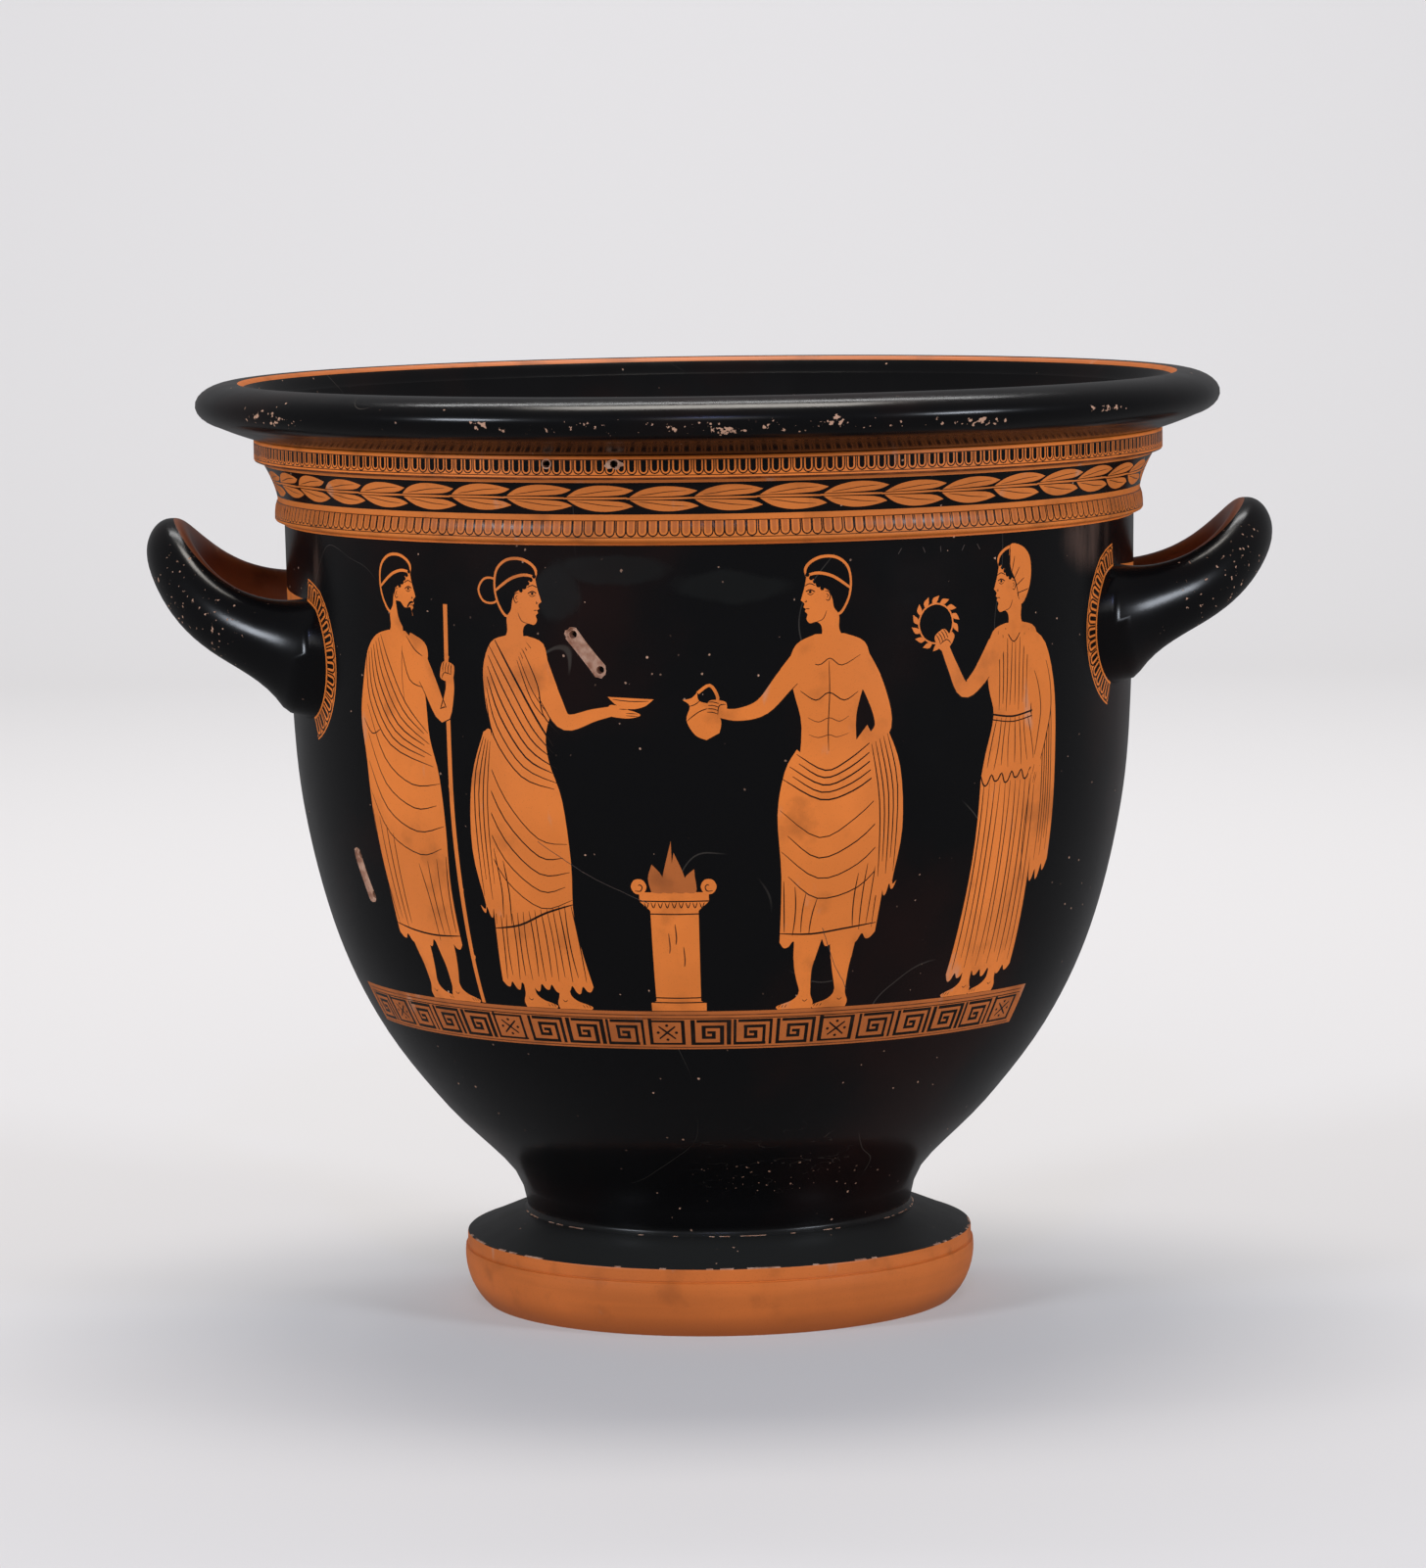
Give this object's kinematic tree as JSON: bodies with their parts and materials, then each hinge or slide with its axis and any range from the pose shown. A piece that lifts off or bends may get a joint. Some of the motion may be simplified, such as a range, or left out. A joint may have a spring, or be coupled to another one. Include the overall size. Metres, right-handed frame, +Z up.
{
  "type": "greek bell krater",
  "caption": "Bell-shaped mixing bowl of fired clay on a disc foot, with a rolled lip and an upturned loop handle on each side.",
  "frame": {"origin": "centre of the underside of the foot, on the surface that the krater stands on", "axes": "+Z up along the axis of the bowl; the handles lie along X; the front of the bowl, side A, faces -Y"},
  "size_m": [0.5014, 0.4552, 0.4139],
  "materials": {
    "fired_clay": "glossy black slip over orange fired clay, which is left bare in the painted bands, the figures and the side of the foot"
  },
  "bodies": {
    "root": {"krater": "fired_clay"}
  },
  "joints": []
}
